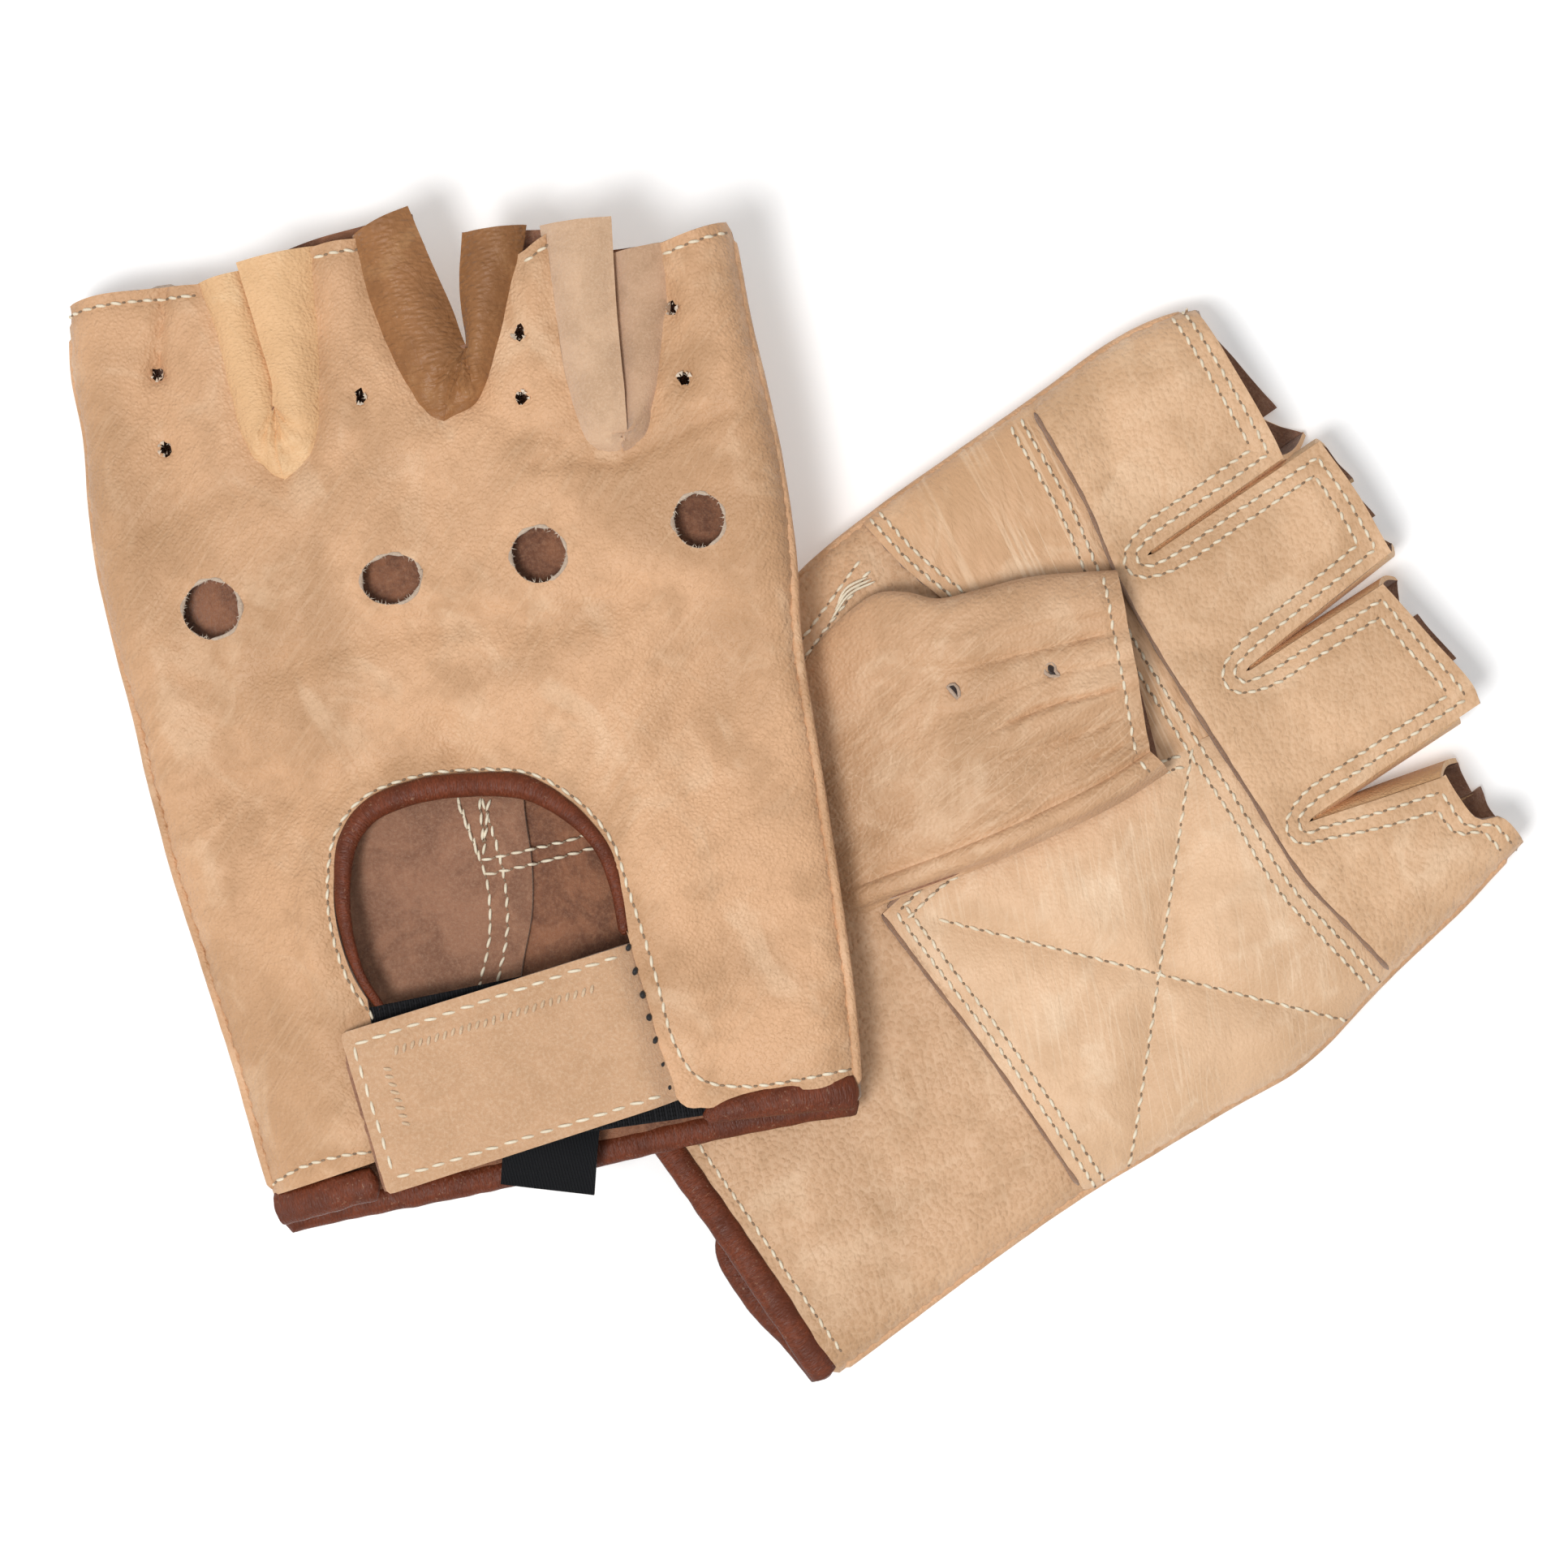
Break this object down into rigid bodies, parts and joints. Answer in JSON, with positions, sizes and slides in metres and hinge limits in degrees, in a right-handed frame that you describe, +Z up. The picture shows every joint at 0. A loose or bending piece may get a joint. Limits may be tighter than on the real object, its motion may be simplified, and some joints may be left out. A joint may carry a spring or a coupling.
{
  "type": "pair of fingerless leather gloves",
  "caption": "Pair of fingerless leather gloves laid crosswise, with folded thumbs, four cut-off finger stalls, knuckle holes, an open back window and a hook-and-loop wrist strap.",
  "frame": {"origin": "on the table under the middle of the pair's plan box", "axes": "+Z up from the table; +Y from the upper glove's wrist towards its fingertips, within 11 degrees; +X towards the lower glove's fingertips"},
  "size_m": [0.2214, 0.1746, 0.0306],
  "materials": {
    "tan_leather": "waxed full grain, creased and worn",
    "strap_nubuck": "napped nubuck, matt",
    "binding_leather": "dark brown binding leather, scuffed",
    "light_gusset_leather": "light pebbled leather",
    "grey_gusset_suede": "grey-brown suede",
    "suede_lining": "suede flesh side",
    "foam_padding": "thin foam sheet",
    "thread": "waxed cream sewing thread",
    "elastic": "ribbed woven elastic",
    "hook_and_loop": "black hook and loop tape",
    "woven_label": "plain black woven ribbon"
  },
  "bodies": {
    "left_glove": {"left_back_panel": "tan_leather", "left_arch_binding": "binding_leather", "left_wrist_binding_back": "binding_leather", "left_palm_heel": "tan_leather", "left_thenar_panel": "tan_leather", "left_index_side_panel": "tan_leather", "left_palm_patch": "tan_leather", "left_patch_padding": "foam_padding", "left_patch_thread": "thread", "left_wrist_binding_palm": "binding_leather", "left_elastic_band": "elastic", "left_loop_tape": "hook_and_loop", "left_label_tag": "woven_label"},
    "left_stalls": {"left_back_fingers": "tan_leather", "left_fourchette_index_middle": "light_gusset_leather", "left_fourchette_middle_ring": "binding_leather", "left_fourchette_ring_little": "grey_gusset_suede", "left_finger_pad": "tan_leather"},
    "left_thumb": {"left_thumb_front": "tan_leather", "left_thumb_back": "tan_leather"},
    "left_strap": {"left_hook_tape": "hook_and_loop", "left_strap_lining": "suede_lining", "left_strap_leather": "strap_nubuck"},
    "right_glove": {"right_back_panel": "tan_leather", "right_arch_binding": "binding_leather", "right_wrist_binding_back": "binding_leather", "right_palm_heel": "tan_leather", "right_thenar_panel": "tan_leather", "right_index_side_panel": "tan_leather", "right_palm_patch": "tan_leather", "right_patch_padding": "foam_padding", "right_patch_thread": "thread", "right_wrist_binding_palm": "binding_leather", "right_elastic_band": "elastic", "right_loop_tape": "hook_and_loop", "right_label_tag": "woven_label"},
    "right_stalls": {"right_back_fingers": "tan_leather", "right_fourchette_index_middle": "light_gusset_leather", "right_fourchette_middle_ring": "binding_leather", "right_fourchette_ring_little": "grey_gusset_suede", "right_finger_pad": "tan_leather"},
    "right_thumb": {"right_thumb_front": "tan_leather", "right_thumb_back": "tan_leather"},
    "right_strap": {"right_hook_tape": "hook_and_loop", "right_strap_lining": "suede_lining", "right_strap_leather": "strap_nubuck"}
  },
  "joints": [
    {"name": "right_glove_lift", "type": "slide", "parent": "left_glove", "child": "right_glove", "axis": [0, 0, 1], "range_m": [0, 0.1]},
    {"name": "right_strap_open", "type": "hinge", "parent": "right_glove", "child": "right_strap", "pos_m": [-0.02422, -0.02029, 0.02728], "axis": [-0.3041, 0.9525, 0.0146], "range_deg": [0, 150]},
    {"name": "right_thumb_open", "type": "hinge", "parent": "right_glove", "child": "right_thumb", "pos_m": [-0.0901, 0.00757, 0.0077], "axis": [-0.9372, 0.3387, -0.0828], "range_deg": [0, 71]},
    {"name": "right_stalls_fold", "type": "hinge", "parent": "right_glove", "child": "right_stalls", "pos_m": [-0.10096, 0.03709, 0.021], "axis": [0.9787, 0.1814, 0.0958], "range_deg": [0, 60]},
    {"name": "left_strap_open", "type": "hinge", "parent": "left_glove", "child": "left_strap", "pos_m": [0.01106, -0.04149, 0.00003], "axis": [-0.7476, -0.6637, 0.025], "range_deg": [0, 150]},
    {"name": "left_thumb_open", "type": "hinge", "parent": "left_glove", "child": "left_thumb", "pos_m": [0.01457, 0.03531, 0.01375], "axis": [0.074, -0.9973, 0], "range_deg": [0, 70]},
    {"name": "left_stalls_fold", "type": "hinge", "parent": "left_glove", "child": "left_stalls", "pos_m": [0.03703, 0.0556, 0.01165], "axis": [0.5664, -0.8241, 0], "range_deg": [0, 60]}
  ],
  "couplings": [
    {"joint": "right_thumb_open", "follows": "right_glove_lift", "rad_per_m": 12.217}
  ]
}
